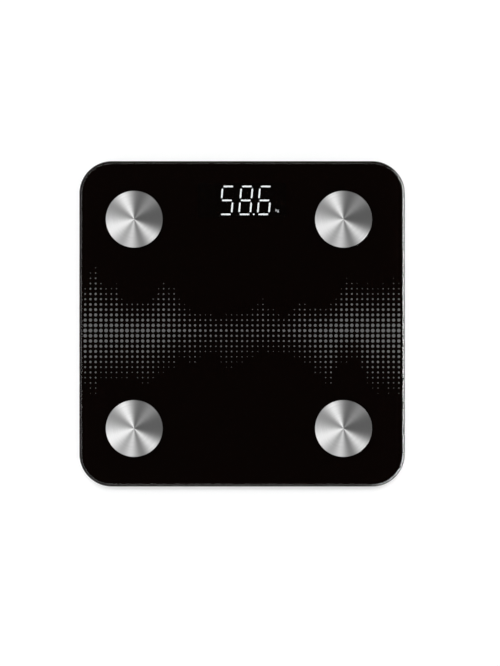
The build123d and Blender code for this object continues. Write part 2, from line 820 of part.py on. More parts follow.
def make_chips():
    """Controller and weighing converter on the main board."""
    controller = block(controller_size, controller_size, board_top, board_top + chip_height)
    converter = block(converter_width, converter_depth, board_top, board_top + chip_height)
    return board_place * group([Pos(*controller_place) * controller, Pos(*converter_place) * converter])


def make_radio():
    """Wireless module: a small board under a metal can."""
    module = block(radio_width, radio_depth, board_top, board_top + radio_board)
    can_width = radio_width - 2 * radio_can_margin
    can_depth = radio_depth - 2 * radio_can_margin
    can = block(can_width, can_depth, board_top + radio_board, board_top + radio_board + radio_can_height)
    return board_place * Pos(radio_x, radio_y) * (module + can)


def level_path(points, level, bend):
    """Level route through plan points, with a round bend at each inner one."""
    places = [(x, y, level) for x, y in points]
    return FilletPolyline(*places, radius=bend) if len(places) > 2 else Line(*places)


def flat_lead(points, width, thickness, level, bend):
    """Flat lead of rectangular section along a level route."""
    path = level_path(points, level, bend)
    along = path % 0
    start = Plane(origin=path @ 0, x_dir=(-along.Y, along.X, 0), z_dir=along)
    return sweep(start * Rectangle(width, thickness), path=path)


def round_wire(points, level):
    """Round wire along a level route."""
    path = level_path(points, level, wire_bend)
    return sweep(Plane(origin=path @ 0, z_dir=path % 0) * Circle(wire_diameter / 2), path=path)


def board_point(x, y):
    """A point of the main board, from its middle, in the scale's plan."""
    return (board_x + x, battery_y + y)


def cell_lead_routes():
    """Route of each load cell's lead, from its strain gauge to the edge of the main board."""
    near_x = board_width / 2 - lead_overlap
    near_y = board_depth / 2 - lead_overlap
    ends = {
        "front_left": board_point(front_socket_x, -near_y),
        "front_right": board_point(near_x, -edge_socket_y),
        "rear_left": board_point(-edge_socket_x, near_y),
        "rear_right": board_point(near_x, edge_socket_y),
    }
    lanes = {"front_left": far_lane, "rear_left": rear_lane}
    routes = {}
    for corner, (side_x, side_y) in corners.items():
        x = side_x * cell_reach
        start = (x, side_y * (cell_reach + gauge_back()))
        end = ends[corner]
        if corner in lanes:
            routes[corner] = [start, (x, lanes[corner]), (end[0], lanes[corner]), end]
        else:
            routes[corner] = [start, (x, end[1]), end]
    return routes


def make_cell_lead(route):
    """Flat three-core lead of one load cell."""
    return flat_lead(route, lead_width, lead_thickness, lead_level, lead_bend)


def ribbon_route():
    """Route of the ribbon between the display board and the main board."""
    end = board_point(ribbon_x, board_depth / 2 - lead_overlap)
    return [(end[0], display_y - housing_depth / 2), end]


def socket_block(width, depth, height):
    """Socket on the main board, with the face that takes a lead at zero in Y."""
    return Pos(0, depth / 2) * block(width, depth, board_top, board_top + height)


def make_lead_sockets():
    """Sockets of the load cell leads and of the display ribbon."""
    turns = {"front_left": 0, "front_right": 90, "rear_left": 180, "rear_right": 90}
    sockets = []
    for corner, route in cell_lead_routes().items():
        turn = Rot(0, 0, turns[corner])
        sockets.append(Pos(*route[-1]) * turn * socket_block(socket_width, socket_depth, socket_height))
    ribbon_end = Pos(*ribbon_route()[-1]) * Rot(0, 0, 180)
    sockets.append(ribbon_end * socket_block(ribbon_socket_width, socket_depth, socket_height))
    return group(sockets)


def make_electrode_socket():
    """Tall socket that takes the four electrode wires under the glass."""
    socket_top = barrel_level + wire_diameter
    socket = block(electrode_socket_size, electrode_socket_size, board_top, socket_top)
    return board_place * Pos(*electrode_socket_place) * socket


def make_electrode_wires():
    """Wires from the ring terminals, kept under the glass, to the tall socket."""
    socket_x, socket_y = electrode_socket_place
    half = electrode_socket_size / 2
    ends = {
        "front_left": board_point(socket_x + electrode_wire_spread, socket_y - half),
        "front_right": board_point(socket_x + half, socket_y - electrode_wire_spread),
        "rear_left": board_point(socket_x - electrode_wire_spread, socket_y - half),
        "rear_right": board_point(socket_x + half, socket_y + electrode_wire_spread),
    }
    lanes = {"front_left": far_lane, "rear_left": near_lane}
    wires = []
    for corner, (side_x, side_y) in corners.items():
        x = side_x * electrode_reach + electrode_shift
        start = (x, side_y * (stud_reach - terminal_diameter / 2 - barrel_length))
        end = ends[corner]
        if corner in lanes:
            route = [start, (x, lanes[corner]), (end[0], lanes[corner]), end]
        else:
            route = [start, (x, end[1]), end]
        wires.append(round_wire(route, barrel_level))
    return group(wires)


def make_battery_wires():
    """Wires from the two end terminals of the compartment to the main board."""
    tab_end = well_length / 2 + well_wall + solder_tab_reach
    first = battery_y + battery_places()[0]
    last = battery_y + battery_places()[-1]
    turn_x = -tab_end - 2 * wire_bend
    negative_end = board_point(negative_wire_x, -board_depth / 2 + lead_overlap)
    negative = [
        (-tab_end, first),
        (turn_x, first),
        (turn_x, near_lane),
        (negative_end[0], near_lane),
        negative_end,
    ]
    positive = [(tab_end, last), (board_x - board_width / 2 + lead_overlap, last)]
    return group([round_wire(route, wire_level) for route in (negative, positive)])


def make_holder_screws():
    """Two screws for each load cell holder."""
    piece = screw(screw_diameter, screw_head_diameter, screw_head_height, screw_length)
    seats = [Pos(side * ear_centre, 0, cell_top + ear_thickness) for side in (-1, 1)]
    return group([cell_place(corner) * seat * piece for corner in corners for seat in seats])


def make_board_screws(places):
    """One screw at each of the places on a board."""
    piece = screw(
        board_screw_diameter, board_screw_head_diameter, board_screw_head_height, board_screw_length
    )
    return group([place * Pos(0, 0, board_top) * piece for place in places])


def make_nodes():
    """Every piece of the scale under its name."""
    nodes = {"glass_platform": make_glass()}
    nodes["display_window"] = make_window()
    nodes["black_ink"] = make_ink(nodes["display_window"])
    nodes["perimeter_tape"] = rim_ring(tape_setback, rim_width, tray_top, ink_bottom)
    nodes["base_tray"] = make_tray()
    foot_pieces = {
        "load_cell": make_load_cell(),
        "load_cell_holder": make_holder(),
        "foot_carrier": make_foot_carrier(),
        "foot_pad": make_foot_pad(),
    }
    for corner in corners:
        nodes[f"electrode_{corner}"] = make_electrode(corner)
        for name, piece in foot_pieces.items():
            nodes[f"{name}_{corner}"] = cell_place(corner) * piece
    for corner, route in cell_lead_routes().items():
        nodes[f"load_cell_lead_{corner}"] = make_cell_lead(route)
    nodes["electrode_terminals"] = group([stud_place(corner) * make_terminal() for corner in corners])
    nodes["electrode_nuts"] = group([stud_place(corner) * make_nut() for corner in corners])
    nodes["electrode_wires"] = make_electrode_wires()
    nodes["strain_gauges"] = group([cell_place(corner) * make_gauge() for corner in corners])
    pad = slab(holder_size, holder_size, holder_corner_radius, tray_top, ink_bottom)
    nodes["holder_tape_pads"] = group([cell_place(corner) * pad for corner in corners])
    nodes["holder_screws"] = make_holder_screws()
    nodes["main_board"] = make_board(board_width, board_depth, board_place, board_screw_places())
    nodes["board_chips"] = make_chips()
    nodes["wireless_module"] = make_radio()
    nodes["lead_sockets"] = make_lead_sockets()
    nodes["electrode_socket"] = make_electrode_socket()
    nodes["board_screws"] = make_board_screws(board_screw_places())
    nodes["push_switch"] = make_switch()
    nodes["switch_plunger"] = make_plunger()
    nodes["unit_button"] = make_button()
    housing, lit, dark, lamps = make_display()
    nodes["display_housing"] = housing
    nodes["lit_segments"] = lit
    nodes["dark_segments"] = dark
    nodes["segment_lamps"] = lamps
    nodes["display_board"] = make_board(
        display_board_width, housing_depth, Pos(0, display_y), display_screw_places()
    )
    nodes["display_screws"] = make_board_screws(display_screw_places())
    route = ribbon_route()
    nodes["display_ribbon"] = flat_lead(route, ribbon_width, ribbon_thickness, lead_level, lead_bend)
    for index, (direction, offset) in enumerate(zip(battery_directions, battery_places()), start=1):
        nodes[f"battery_{index}"] = Pos(0, battery_y + offset) * make_battery(direction)
    nodes["battery_terminals"], nodes["battery_bridges"] = make_contacts()
    nodes["battery_wires"] = make_battery_wires()
    nodes["battery_door"] = make_door()
    return nodes


os.makedirs("parts", exist_ok=True)
for name, shape in make_nodes().items():
    export_step(shape, f"parts/{name}.step")
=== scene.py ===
"""Looks of a square glass bathroom scale, dressed over its solids: metres, +Z up, display towards +Y."""

import json
import logging
import math
from dataclasses import dataclass
from enum import Enum
from functools import cache
from typing import Optional, Union

import bpy
import numpy as np
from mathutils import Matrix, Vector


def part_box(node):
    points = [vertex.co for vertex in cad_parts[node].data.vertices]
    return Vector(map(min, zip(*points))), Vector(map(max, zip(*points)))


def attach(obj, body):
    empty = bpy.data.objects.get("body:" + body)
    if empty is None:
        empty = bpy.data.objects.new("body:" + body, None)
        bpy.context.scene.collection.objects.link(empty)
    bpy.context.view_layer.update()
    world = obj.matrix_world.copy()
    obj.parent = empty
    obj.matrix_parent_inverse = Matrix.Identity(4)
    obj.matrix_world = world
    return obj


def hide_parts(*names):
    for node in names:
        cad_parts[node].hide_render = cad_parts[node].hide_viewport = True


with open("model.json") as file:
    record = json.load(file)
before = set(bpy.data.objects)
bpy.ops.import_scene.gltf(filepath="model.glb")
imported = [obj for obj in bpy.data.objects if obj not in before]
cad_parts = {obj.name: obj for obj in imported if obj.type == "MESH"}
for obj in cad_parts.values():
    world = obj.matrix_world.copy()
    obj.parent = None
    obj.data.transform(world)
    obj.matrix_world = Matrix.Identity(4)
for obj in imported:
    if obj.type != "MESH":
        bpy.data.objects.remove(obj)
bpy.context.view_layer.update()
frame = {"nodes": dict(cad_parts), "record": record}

MM = 0.001
WHITE = (1.0, 1.0, 1.0)
log = logging.getLogger("bathroom_scale")

Colour = tuple[float, float, float]
Point = tuple[float, float, float]
Span = tuple[float, float]
Fed = Union[bpy.types.NodeSocket, float, tuple]


class Corner(Enum):
    """A corner of the platform, by the word that ends the names of its pieces."""

    FRONT_LEFT = "front_left"
    FRONT_RIGHT = "front_right"
    REAR_LEFT = "rear_left"
    REAR_RIGHT = "rear_right"


class Lay(Enum):
    """Which way the marks of a worked metal surface run."""

    ROUND = "round"
    ALONG_X = "along_x"
    ALONG_Y = "along_y"


class Poles(Enum):
    """Which way a cell's button end points along X."""

    RIGHT = 1.0
    LEFT = -1.0


def rgba(colour: Colour) -> tuple[float, float, float, float]:
    """An opaque colour for a node socket."""
    return (*colour, 1.0)


# Most of a noise's values lie between these two
NOISE_SPAN: Span = (0.3, 0.7)


class Graph:
    """Short hand for building one node tree."""

    def __init__(self, tree: bpy.types.NodeTree) -> None:
        """Keeps the tree that nodes are added to."""
        self.tree = tree

    def feed(self, socket: bpy.types.NodeSocket, value: Fed) -> None:
        """Links an output to a socket, or sets the socket's own value.

        Args:
            socket: the input that is fed.
            value: an output socket, a number or a tuple of numbers.
        """
        if isinstance(value, bpy.types.NodeSocket):
            self.tree.links.new(value, socket)
        else:
            socket.default_value = value

    def add(self, kind: str, inputs: Optional[dict] = None, **settings: object) -> bpy.types.Node:
        """Adds a node.

        Args:
            kind: the node's type.
            inputs: what feeds its sockets, by name or by place.
            settings: the node's own properties.

        Returns:
            The new node.
        """
        node = self.tree.nodes.new(kind)
        for name, value in settings.items():
            setattr(node, name, value)
        for name, value in (inputs or {}).items():
            self.feed(node.inputs[name], value)
        return node

    def maths(self, operation: str, *values: Fed) -> bpy.types.NodeSocket:
        """The result of a Math node on its values."""
        return self.add("ShaderNodeMath", dict(enumerate(values)), operation=operation).outputs[0]

    def times(self, colour: Fed, factor: Fed) -> bpy.types.NodeSocket:
        """A colour or vector times a value."""
        return self.add("ShaderNodeVectorMath", {0: colour, "Scale": factor}, operation="SCALE").outputs[0]

    def split(self, vector: Fed) -> tuple[bpy.types.NodeSocket, ...]:
        """The X, Y and Z of a vector."""
        return tuple(self.add("ShaderNodeSeparateXYZ", {0: vector}).outputs)

    def join(self, x: Fed, y: Fed, z: Fed = 0.0) -> bpy.types.NodeSocket:
        """A vector from its X, Y and Z."""
        return self.add("ShaderNodeCombineXYZ", {0: x, 1: y, 2: z}).outputs[0]

    def noise(self, vector: Fed, scale: Fed, detail: float = 2.0) -> bpy.types.NodeSocket:
        """A noise value of about 0 to 1."""
        return self.add("ShaderNodeTexNoise", {"Vector": vector, "Scale": scale, "Detail": detail}).outputs[0]

    def spread(self, value: Fed, span: Span, low: Fed, high: Fed) -> bpy.types.NodeSocket:
        """A value mapped from a span to low and high, held at both ends."""
        ends = {"From Min": span[0], "From Max": span[1], "To Min": low, "To Max": high}
        return self.add("ShaderNodeMapRange", {"Value": value, **ends}).outputs[0]

    def uneven(self, fineness: float, swing: float) -> bpy.types.NodeSocket:
        """A factor that wanders over the piece between 1 less and 1 plus the swing."""
        return self.spread(self.noise(self.place(), fineness), NOISE_SPAN, 1.0 - swing, 1.0 + swing)

    def blend(self, factor: Fed, first: Fed, second: Fed) -> bpy.types.NodeSocket:
        """A colour that goes from first to second with the factor."""
        return self.add("ShaderNodeMix", {0: factor, 6: first, 7: second}, data_type="RGBA").outputs[2]

    def either(self, factor: Fed, first: bpy.types.Node, second: bpy.types.Node) -> bpy.types.NodeSocket:
        """One of two shaders: the first where the factor is 0, the second where it is 1."""
        shaders = {1: first.outputs[0], 2: second.outputs[0]}
        return self.add("ShaderNodeMixShader", {0: factor, **shaders}).outputs[0]

    def place(self, centre: Point = (0.0, 0.0, 0.0)) -> bpy.types.NodeSocket:
        """The piece's own coordinates.

        Args:
            centre: the point that they are measured from.

        Returns:
            The coordinates, a vector.
        """
        coordinates = self.add("ShaderNodeTexCoord").outputs["Object"]
        offset = tuple(-value for value in centre)
        return self.add("ShaderNodeMapping", {"Vector": coordinates, "Location": offset}).outputs[0]

    def effect(self, group: bpy.types.NodeTree, inputs: dict) -> bpy.types.NodeOutputs:
        """Places a shared node group and gives its outputs."""
        return self.add("ShaderNodeGroup", inputs, node_tree=group).outputs

    def bump(self, shader: bpy.types.Node, height: Fed, depth: float) -> None:
        """Turns a height of 0 to 1 into dents of a depth on a shader."""
        node = self.add("ShaderNodeBump", {"Strength": 1.0, "Distance": depth, "Height": height})
        self.feed(shader.inputs["Normal"], node.outputs[0])


Group = tuple[Graph, dict, bpy.types.Node]


def new_group(name: str, inputs: dict[str, str], outputs: dict[str, str]) -> Group:
    """Starts a shared node group.

    Args:
        name: the group's name.
        inputs: its input sockets, each name with its type's short name.
        outputs: its output sockets in the same form.

    Returns:
        The group's graph, its inputs by name and the node that takes its outputs.
    """
    tree = bpy.data.node_groups.new(name, "ShaderNodeTree")
    for way, sockets in (("INPUT", inputs), ("OUTPUT", outputs)):
        for label, kind in sockets.items():
            tree.interface.new_socket(name=label, in_out=way, socket_type=f"NodeSocket{kind}")
    graph = Graph(tree)
    entry = graph.add("NodeGroupInput")
    return graph, {socket.name: socket for socket in entry.outputs}, graph.add("NodeGroupOutput")


def marks_group(name: str, swing: str) -> Group:
    """Starts a group of marks on a surface.

    Args:
        name: the group's name.
        swing: the name of the input that says how far the marks change the colour.

    Returns:
        The group's graph, its inputs by name and the node that takes its outputs.
    """
    shown = {"Colour": "Color", "Roughness": "Float"}
    inputs = {"Vector": "Vector", "Fineness": "Float", swing: "Float", **shown}
    return new_group(name, inputs, {**shown, "Height": "Float"})


# The mould's grain: how far it moves the roughness, and a broad mottle as a share of its fineness
GRAIN_GLOSS = 0.25
MOTTLE_SHARE = 0.03
GRAIN_DETAIL = 3.0
MOTTLE_DETAIL = 4.0


@cache
def moulded_grain() -> bpy.types.NodeTree:
    """The grain of a spark eroded mould: two sizes of noise in colour, gloss and height.

    Returns:
        The group's tree.
    """
    graph, given, out = marks_group("moulded_grain", "Mottle")
    fine = graph.noise(given["Vector"], given["Fineness"], GRAIN_DETAIL)
    coarseness = graph.maths("MULTIPLY", given["Fineness"], MOTTLE_SHARE)
    broad = graph.noise(given["Vector"], coarseness, MOTTLE_DETAIL)
    both = graph.maths("SUBTRACT", graph.maths("ADD", fine, broad), 1.0)
    factor = graph.maths("MULTIPLY_ADD", both, given["Mottle"], 1.0)
    graph.feed(out.inputs["Colour"], graph.times(given["Colour"], factor))
    graph.feed(out.inputs["Roughness"], graph.maths("MULTIPLY_ADD", both, GRAIN_GLOSS, given["Roughness"]))
    graph.feed(out.inputs["Height"], fine)
    return graph.tree


# Brush marks: how far they move the roughness, and their change along as a share of that across
MARK_GLOSS = 0.3
MARK_STRETCH = 0.03
MARK_DETAIL = 4.0


@cache
def brush_marks() -> bpy.types.NodeTree:
    """Fine marks that run along a vector's Y and change quickly across its X.

    Returns:
        The group's tree.
    """
    graph, given, out = marks_group("brush_marks", "Contrast")
    x, y, z = graph.split(given["Vector"])
    stretched = graph.join(x, graph.maths("MULTIPLY", y, MARK_STRETCH), z)
    streak = graph.noise(stretched, given["Fineness"], MARK_DETAIL)
    signed = graph.maths("SUBTRACT", streak, 0.5)
    factor = graph.maths("MULTIPLY_ADD", signed, given["Contrast"], 1.0)
    graph.feed(out.inputs["Colour"], graph.times(given["Colour"], factor))
    graph.feed(out.inputs["Roughness"], graph.maths("MULTIPLY_ADD", signed, MARK_GLOSS, given["Roughness"]))
    graph.feed(out.inputs["Height"], streak)
    return graph.tree


@dataclass(frozen=True)
class Sector:
    """A painted highlight wedge in a turned disc's colour: its direction and half width in degrees, and its
    strength.
    """

    angle: float
    width: float
    strength: float


# The painted light between the disc's painted highlight wedges, and the metres that a radian counts for along
# a round mark
PAINTED_SHEEN_FLOOR = 0.13
ROUND_STEP = 0.01
# Painted highlight wedges: bright wedges of reflected light painted into the discs' colour
PAINTED_SHEEN_WEDGES = (
    Sector(49, 17, 0.16), Sector(115, 20, 0.78), Sector(170, 45, 0.19), Sector(206, 31, 0.75),
    Sector(262, 17, 0.55), Sector(316, 19, 0.70),
)


@cache
def painted_disc_sheen() -> bpy.types.NodeTree:
    """Painted highlight wedges: light painted into the colour of a disc brushed in circles.

    At the angle a about the disc's centre, the value is a floor plus, for each sector, its strength times
    a bell of the angle between a and the sector's direction, exp(-(angle / width) squared).

    Returns:
        The group's tree.
    """
    graph, given, out = new_group(
        "painted_disc_sheen", {"Vector": "Vector"}, {"Value": "Float", "Across": "Vector"})
    x, y, _ = graph.split(given["Vector"])
    angle = graph.maths("ARCTAN2", y, x)
    radius = graph.maths("SQRT", graph.maths("MULTIPLY_ADD", x, x, graph.maths("MULTIPLY", y, y)))
    value: Fed = PAINTED_SHEEN_FLOOR
    for sector in PAINTED_SHEEN_WEDGES:
        off = graph.maths("SUBTRACT", angle, math.radians(sector.angle))
        turn = graph.maths("DIVIDE", graph.maths("WRAP", off, math.pi, -math.pi), math.radians(sector.width))
        bell = graph.maths("EXPONENT", graph.maths("MULTIPLY", graph.maths("MULTIPLY", turn, turn), -1.0))
        value = graph.maths("MULTIPLY_ADD", bell, sector.strength, value)
    graph.feed(out.inputs["Value"], value)
    graph.feed(out.inputs["Across"], graph.join(radius, graph.maths("MULTIPLY", angle, ROUND_STEP)))
    return graph.tree


@dataclass(frozen=True)
class Finish:
    """A plain finish, which the finishes below work up with detail."""

    name: str
    colour: Colour
    roughness: float = 0.5
    metallic: float = 0.0
    specular: float = 0.5

    def material(self) -> bpy.types.Material:
        """Makes the finish a material.

        Returns:
            The new material, with the finish's detail in its nodes.
        """
        material = bpy.data.materials.new(self.name)
        material.use_nodes = True
        material.node_tree.nodes.clear()
        graph = Graph(material.node_tree)
        shader = graph.add("ShaderNodeBsdfPrincipled", {
            "Base Color": rgba(self.colour), "Roughness": self.roughness,
            "Metallic": self.metallic, "Specular IOR Level": self.specular})
        self.dress(graph, shader)
        graph.add("ShaderNodeOutputMaterial", {"Surface": self.surface(graph, shader)})
        return material

    def dress(self, graph: Graph, shader: bpy.types.Node) -> None:
        """Adds the finish's detail to the shader; the plain finish has none."""

    def surface(self, graph: Graph, shader: bpy.types.Node) -> bpy.types.NodeSocket:
        """What the material shows: its one shader."""
        return shader.outputs[0]

    def show(self, graph: Graph, shader: bpy.types.Node, marks: bpy.types.NodeOutputs, depth: float) -> None:
        """Feeds a group's colour, gloss and height to the shader.

        Args:
            graph: the material's graph.
            shader: its shader.
            marks: the group's outputs.
            depth: how deep the marks are.
        """
        graph.feed(shader.inputs["Base Color"], marks["Colour"])
        graph.feed(shader.inputs["Roughness"], marks["Roughness"])
        graph.bump(shader, marks["Height"], depth)


@dataclass(frozen=True)
class Moulded(Finish):
    """Moulded plastic, rubber, nylon or foam with a fine grain."""

    grain: float = 0.5 * MM
    depth: float = 0.02 * MM
    mottle: float = 0.15

    def dress(self, graph: Graph, shader: bpy.types.Node) -> None:
        """Gives the shader the mould's grain."""
        marks = graph.effect(moulded_grain(), {
            "Vector": graph.place(), "Colour": rgba(self.colour), "Fineness": 1.0 / self.grain,
            "Mottle": self.mottle, "Roughness": self.roughness})
        self.show(graph, shader, marks, self.depth)


@dataclass(frozen=True)
class Worked(Finish):
    """Rolled, stamped or plated metal with straight marks."""

    metallic: float = 1.0
    lay: Lay = Lay.ALONG_X
    fineness: float = 2500.0
    contrast: float = 0.4
    depth: float = 0.004 * MM

    def brush(self, graph: Graph, shader: bpy.types.Node, across: Fed, colour: Fed) -> None:
        """Gives the shader marks across a vector's X.

        Args:
            graph: the material's graph.
            shader: its shader.
            across: the vector that the marks follow.
            colour: the metal's colour, which on the discs carries painted highlight wedges.
        """
        marks = graph.effect(brush_marks(), {
            "Vector": across, "Colour": colour, "Fineness": self.fineness,
            "Contrast": self.contrast, "Roughness": self.roughness})
        self.show(graph, shader, marks, self.depth)

    def dress(self, graph: Graph, shader: bpy.types.Node) -> None:
        """Gives the shader marks along the lay.

        Args:
            graph: the material's graph.
            shader: its shader.
        """
        x, y, z = graph.split(graph.place())
        across = graph.join(y, x, z) if self.lay is Lay.ALONG_X else graph.join(x, y, z)
        self.brush(graph, shader, across, rgba(self.colour))


@dataclass(frozen=True)
class TurnedSteelPaintedSheen(Worked):
    """Stainless steel brushed in circles, with painted highlight wedges in its colour that meet at the disc's
    centre.
    """

    lay: Lay = Lay.ROUND
    centre: Point = (0.0, 0.0, 0.0)

    def dress(self, graph: Graph, shader: bpy.types.Node) -> None:
        """Gives the shader the painted highlight wedges in its colour and the round marks about the centre.
        """
        painted_sheen = graph.effect(painted_disc_sheen(), {"Vector": graph.place(self.centre)})
        # The steel's colour is multiplied by the painted highlight wedges
        self.brush(graph, shader, painted_sheen["Across"], graph.times(self.colour, painted_sheen["Value"]))


@dataclass(frozen=True)
class ClearGlass(Finish):
    """Polished glass that lets lamp light through to what lies behind it."""

    index: float = 1.5

    def dress(self, graph: Graph, shader: bpy.types.Node) -> None:
        """Makes the shader clear."""
        shader.inputs["Transmission Weight"].default_value = 1.0
        shader.inputs["IOR"].default_value = self.index

    def surface(self, graph: Graph, shader: bpy.types.Node) -> bpy.types.NodeSocket:
        """The glass, or a clear pane to a lamp's shadow ray."""
        clear = graph.add("ShaderNodeBsdfTransparent", {"Color": rgba(self.colour)})
        return graph.either(graph.add("ShaderNodeLightPath").outputs["Is Shadow Ray"], shader, clear)


@dataclass(frozen=True)
class SmokedFilm(Finish):
    """A dark see-through film."""

    cover: float = 0.6

    def dress(self, graph: Graph, shader: bpy.types.Node) -> None:
        """Lets part of what lies behind the film show."""
        shader.inputs["Alpha"].default_value = self.cover


@dataclass(frozen=True)
class Printed(Finish):
    """Screen print that is bonded to the glass, so it has no gloss of its own."""

    specular: float = 0.0
    unevenness: float = 0.16
    mesh: float = 0.3 * MM

    def dress(self, graph: Graph, shader: bpy.types.Node) -> None:
        """Gives the ink the slight unevenness of a print."""
        factor = graph.uneven(1.0 / self.mesh, self.unevenness)
        graph.feed(shader.inputs["Base Color"], graph.times(self.colour, factor))


@dataclass(frozen=True)
class LitGuide(Finish):
    """A light guide with a lamp behind it."""

    strength: float = 6.4
    unevenness: float = 0.05
    fineness: float = 400.0

    def dress(self, graph: Graph, shader: bpy.types.Node) -> None:
        """Makes the guide glow, a little brighter in some places.

        Args:
            graph: the material's graph.
            shader: its shader.
        """
        factor = graph.uneven(self.fineness, self.unevenness)
        graph.feed(shader.inputs["Emission Color"], graph.times(self.colour, factor))
        shader.inputs["Emission Strength"].default_value = self.strength


@dataclass(frozen=True)
class Lacquered(Finish):
    """A circuit board: lacquer over copper tracks."""

    track_colour: Colour = (0.05, 0.32, 0.15)
    track_roughness: float = 0.25
    track_width: float = 0.35 * MM
    track_height: float = 0.03 * MM
    track_softness: float = 0.2
    pitch: float = 2.2 * MM
    run: float = 5.5 * MM

    def dress(self, graph: Graph, shader: bpy.types.Node) -> None:
        """Draws the tracks as the joints of a brick bond, in lighter lacquer that stands a little proud.

        Args:
            graph: the material's graph.
            shader: its shader.
        """
        bond = graph.add("ShaderNodeTexBrick", {
            "Vector": graph.place(), "Color1": rgba(self.colour), "Color2": rgba(self.colour),
            "Mortar": rgba(self.track_colour), "Scale": 1.0, "Mortar Size": self.track_width / 2,
            "Mortar Smooth": self.track_softness, "Brick Width": self.run, "Row Height": self.pitch}).outputs
        gloss = graph.spread(bond["Fac"], (0.0, 1.0), self.roughness, self.track_roughness)
        graph.feed(shader.inputs["Base Color"], bond["Color"])
        graph.feed(shader.inputs["Roughness"], gloss)
        graph.bump(shader, bond["Fac"], self.track_height)


@dataclass(frozen=True)
class Sleeved(Finish):
    """A dry cell: a printed sleeve with a copper band at the button end, between bare metal ends."""

    band_colour: Colour = (0.55, 0.27, 0.10)
    band_metal: float = 0.6
    band: float = 11.0 * MM
    bare_colour: Colour = (0.70, 0.69, 0.66)
    bare: float = 1.4 * MM
    unevenness: float = 0.1
    fineness: float = 900.0
    centre: Point = (0.0, 0.0, 0.0)
    half_length: float = 22.0 * MM
    poles: Poles = Poles.RIGHT

    def dress(self, graph: Graph, shader: bpy.types.Node) -> None:
        """Colours the cell by how far a point lies along it.

        Args:
            graph: the material's graph.
            shader: its shader.
        """
        x, _, _ = graph.split(graph.place(self.centre))
        along = graph.maths("MULTIPLY", x, self.poles.value)
        in_band = graph.maths("GREATER_THAN", along, self.half_length - self.band)
        at_end = graph.maths("GREATER_THAN", graph.maths("ABSOLUTE", x), self.half_length - self.bare)
        sleeve = graph.blend(in_band, rgba(self.colour), rgba(self.band_colour))
        colour = graph.blend(at_end, sleeve, rgba(self.bare_colour))
        factor = graph.uneven(self.fineness, self.unevenness)
        metal = graph.maths("MAXIMUM", at_end, graph.maths("MULTIPLY", in_band, self.band_metal))
        graph.feed(shader.inputs["Base Color"], graph.times(colour, factor))
        graph.feed(shader.inputs["Metallic"], metal)


FINISHES: dict[str, Finish] = {finish.name: finish for finish in (
    ClearGlass("clear_glass", (0.96, 0.98, 0.98), 0.0),
    SmokedFilm("smoked_film", (0.0016, 0.0007, 0.0004), 0.3, specular=0.0),
    Printed("black_ink", (0.0021, 0.0008, 0.0005), 0.6),
    Worked("plated_steel", (0.72, 0.72, 0.73), 0.3, contrast=0.15),
    Worked("cell_steel", (0.58, 0.58, 0.59), 0.38, lay=Lay.ALONG_Y),
    Worked("contact_nickel", (0.76, 0.75, 0.72), 0.25, contrast=0.2),
    Moulded("foam_tape", (0.03, 0.03, 0.03), 0.9, grain=0.8 * MM, depth=0.15 * MM),
    Moulded("tray_plastic", (0.030, 0.031, 0.033), 0.5),
    Moulded("button_plastic", (0.30, 0.30, 0.31), 0.45),
    Moulded("foot_plastic", (0.08, 0.08, 0.085), 0.5),
    Moulded("holder_plastic", (0.75, 0.75, 0.73), 0.45, mottle=0.06),
    Moulded("foot_rubber", (0.045, 0.045, 0.047), 0.8, grain=0.3 * MM, depth=0.05 * MM),
    Moulded("gauge_seal", (0.80, 0.80, 0.78), 0.35, grain=2.0 * MM, depth=0.1 * MM, mottle=0.05),
    Lacquered("board_green", (0.015, 0.16, 0.07), 0.35),
    Moulded("chip_black", (0.03, 0.03, 0.03), 0.55, grain=0.2 * MM),
    Moulded("socket_white", (0.78, 0.77, 0.72), 0.4, mottle=0.05),
    Moulded("display_black", (0.004, 0.004, 0.004), 0.8, specular=0.2),
    LitGuide("lit_white", (0.96, 0.98, 1.0), 0.4),
    Moulded("unlit_grey", (0.008, 0.008, 0.008), 0.6, specular=0.2, grain=1.0 * MM, mottle=0.1),
    Moulded("lamp_yellow", (0.80, 0.70, 0.30), 0.3, grain=0.3 * MM, mottle=0.1),
    Moulded("lead_grey", (0.45, 0.45, 0.46), 0.4, grain=0.4 * MM, mottle=0.1),
    Moulded("wire_red", (0.50, 0.04, 0.03), 0.35, grain=0.6 * MM, mottle=0.1),
)}
SLOT_OF: dict[str, str] = {row["node"]: row["material_slot"] for row in frame["record"]["subparts"]}


@cache
def material_of(finish: Finish) -> bpy.types.Material:
    """A finish's material, made once."""
    return finish.material()


def coat(piece: bpy.types.Object, finish: Finish) -> bpy.types.Object:
    """Gives a whole piece one finish.

    Args:
        piece: a new piece or a solid's object.
        finish: the finish that it gets.

    Returns:
        The same piece.
    """
    material = material_of(finish)
    if not piece.material_slots:
        piece.data.materials.append(material)
    for slot in piece.material_slots:
        slot.material = material
    return piece


def coat_node(node: str, finish: Optional[Finish] = None) -> bpy.types.Object:
    """Gives a solid its slot's finish, or another one."""
    return coat(frame["nodes"][node], finish or FINISHES[SLOT_OF[node]])


def coat_nodes(nodes: tuple[str, ...]) -> list[bpy.types.Object]:
    """Gives each solid its slot's finish."""
    return [coat_node(node) for node in nodes]


def put_in_scene(name: str, mesh: bpy.types.Mesh) -> bpy.types.Object:
    """Makes an object of a mesh, at the origin.

    Args:
        name: the object's name.
        mesh: its mesh, with its place in it.

    Returns:
        The new object, in the scene.
    """
    piece = bpy.data.objects.new(name, mesh)
    bpy.context.scene.collection.objects.link(piece)
    return piece


def put_faces(name: str, points: np.ndarray, faces: list) -> bpy.types.Object:
    """Makes an object of points and faces.

    Args:
        name: the object's name.
        points: its points in metres, an array that ends in three.
        faces: the point numbers of each face.

    Returns:
        The new object, at the origin.
    """
    mesh = bpy.data.meshes.new(name)
    mesh.from_pydata(points.reshape(-1, 3).tolist(), [], faces)
    return put_in_scene(name, mesh)


